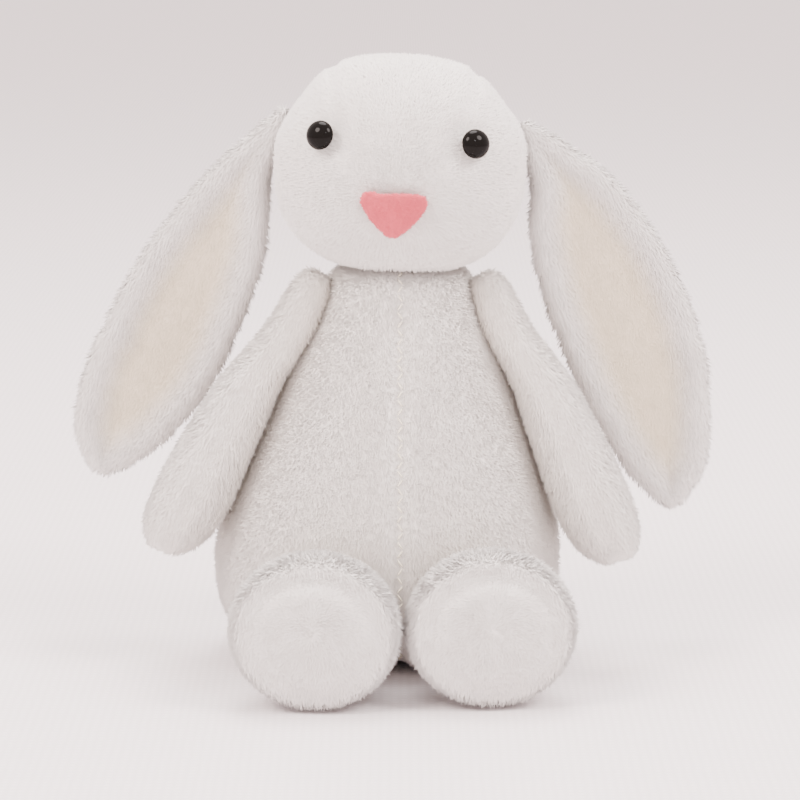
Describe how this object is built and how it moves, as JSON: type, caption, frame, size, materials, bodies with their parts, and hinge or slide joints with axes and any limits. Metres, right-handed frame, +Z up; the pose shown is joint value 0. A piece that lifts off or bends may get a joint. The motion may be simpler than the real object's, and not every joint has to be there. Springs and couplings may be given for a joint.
{
  "type": "stuffed plush rabbit",
  "caption": "Sitting plush rabbit with long hanging ears, sewn from pile-fabric panels over soft filling, with jointed head, ears, arms and legs.",
  "frame": {"origin": "on the floor plane, under the middle of the front seam and the side seams, at the flat of the seat", "axes": "+Z up, the face looks along -Y, and the toy's own left side is +X"},
  "size_m": [0.2272, 0.1727, 0.2123],
  "materials": {
    "plush_white": "matte",
    "plush_cream": "matte",
    "nose_felt": "matte",
    "eye_plastic": "gloss",
    "washer_plastic": "satin",
    "polyester_fill": "matte",
    "pouch_cloth": "matte",
    "seam_thread": "matte"
  },
  "bodies": {
    "torso": {"torso_front_left": "plush_white", "torso_front_right": "plush_white", "torso_back_left": "plush_white", "torso_back_right": "plush_white", "torso_stuffing": "polyester_fill", "bean_pouch": "pouch_cloth", "front_seam_thread": "seam_thread", "tail_cover": "plush_white", "tail_stuffing": "polyester_fill"},
    "head": {"head_gusset": "plush_white", "cheek_left": "plush_white", "cheek_right": "plush_white", "nose_patch": "nose_felt", "head_stuffing": "polyester_fill", "eye_left": "eye_plastic", "eye_right": "eye_plastic", "eye_washer_left": "washer_plastic", "eye_washer_right": "washer_plastic"},
    "ear_left": {"ear_back_left": "plush_white", "ear_lining_left": "plush_cream"},
    "ear_right": {"ear_back_right": "plush_white", "ear_lining_right": "plush_cream"},
    "arm_left": {"arm_outer_left": "plush_white", "arm_inner_left": "plush_white", "arm_stuffing_left": "polyester_fill"},
    "arm_right": {"arm_outer_right": "plush_white", "arm_inner_right": "plush_white", "arm_stuffing_right": "polyester_fill"},
    "leg_left": {"leg_cover_left": "plush_white", "sole_left": "plush_white", "leg_stuffing_left": "polyester_fill"},
    "leg_right": {"leg_cover_right": "plush_white", "sole_right": "plush_white", "leg_stuffing_right": "polyester_fill"}
  },
  "joints": [
    {"name": "neck_nod", "type": "hinge", "parent": "torso", "child": "head", "pos_m": [0, 0.002, 0.134], "axis": [1, 0, 0], "range_deg": [-6, 8], "stiffness_Nm_per_rad": 0.4},
    {"name": "ear_lift_left", "type": "hinge", "parent": "head", "child": "ear_left", "pos_m": [0.04718, 0.00398, 0.1876], "axis": [-0.0436, -0.999, 0.0023], "range_deg": [0, 110], "stiffness_Nm_per_rad": 0.06},
    {"name": "ear_lift_right", "type": "hinge", "parent": "head", "child": "ear_right", "pos_m": [-0.0447, 0.008, 0.19242], "axis": [0.0436, 0.999, -0.0023], "range_deg": [0, 110], "stiffness_Nm_per_rad": 0.06},
    {"name": "arm_swing_left", "type": "hinge", "parent": "torso", "child": "arm_left", "pos_m": [0.0387, -0.007, 0.12586], "axis": [-0.9483, 0, -0.3173], "range_deg": [-2, 90], "stiffness_Nm_per_rad": 0.04},
    {"name": "arm_swing_right", "type": "hinge", "parent": "torso", "child": "arm_right", "pos_m": [-0.03845, -0.007, 0.12652], "axis": [-0.9205, 0, 0.3907], "range_deg": [-2, 90], "stiffness_Nm_per_rad": 0.04},
    {"name": "leg_drop_left", "type": "hinge", "parent": "torso", "child": "leg_left", "pos_m": [0.028, -0.04194, 0.008], "axis": [1, 0, 0], "range_deg": [0, 75], "stiffness_Nm_per_rad": 0.06},
    {"name": "leg_drop_right", "type": "hinge", "parent": "torso", "child": "leg_right", "pos_m": [-0.026, -0.0462, 0.008], "axis": [1, 0, 0], "range_deg": [0, 75], "stiffness_Nm_per_rad": 0.06}
  ]
}
